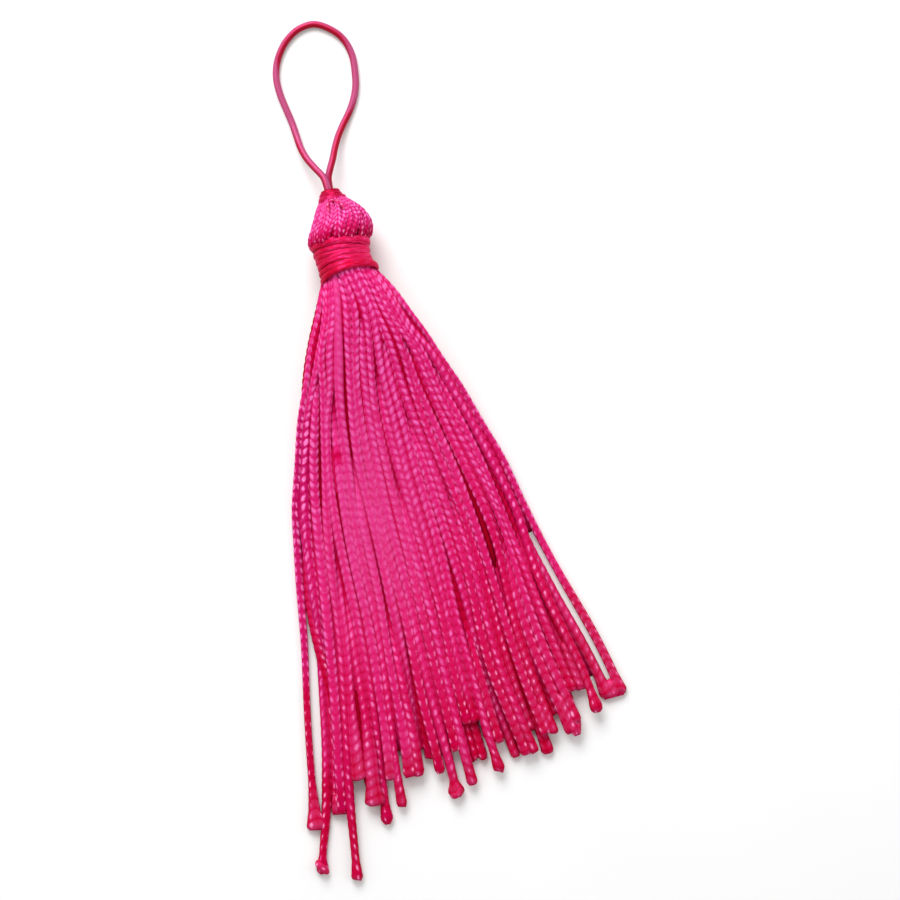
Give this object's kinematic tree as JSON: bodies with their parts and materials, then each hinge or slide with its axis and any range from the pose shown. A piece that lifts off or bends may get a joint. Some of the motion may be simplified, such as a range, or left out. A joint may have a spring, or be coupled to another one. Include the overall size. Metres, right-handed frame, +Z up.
{
  "type": "silk tassel",
  "caption": "Decorative tassel lying flat: cord loop, bound ball head and neck, and a fanned skirt of knitted silk cords.",
  "frame": {"origin": "on the surface the tassel lies on, under the middle of its head and skirt without the hanging loop", "axes": "+Z up from the surface, +Y along the tassel from the hem towards the hanging loop, +X across the skirt"},
  "size_m": [0.049, 0.1229, 0.0104],
  "materials": {
    "knitted_silk": "lustrous knitted cord",
    "binding_thread": "glossy wound thread",
    "satin_cord": "satin"
  },
  "bodies": {
    "root": {"head_and_skirt": "knitted_silk", "neck_binding": "binding_thread", "crown_binding": "binding_thread", "hanging_loop": "satin_cord"}
  },
  "joints": []
}
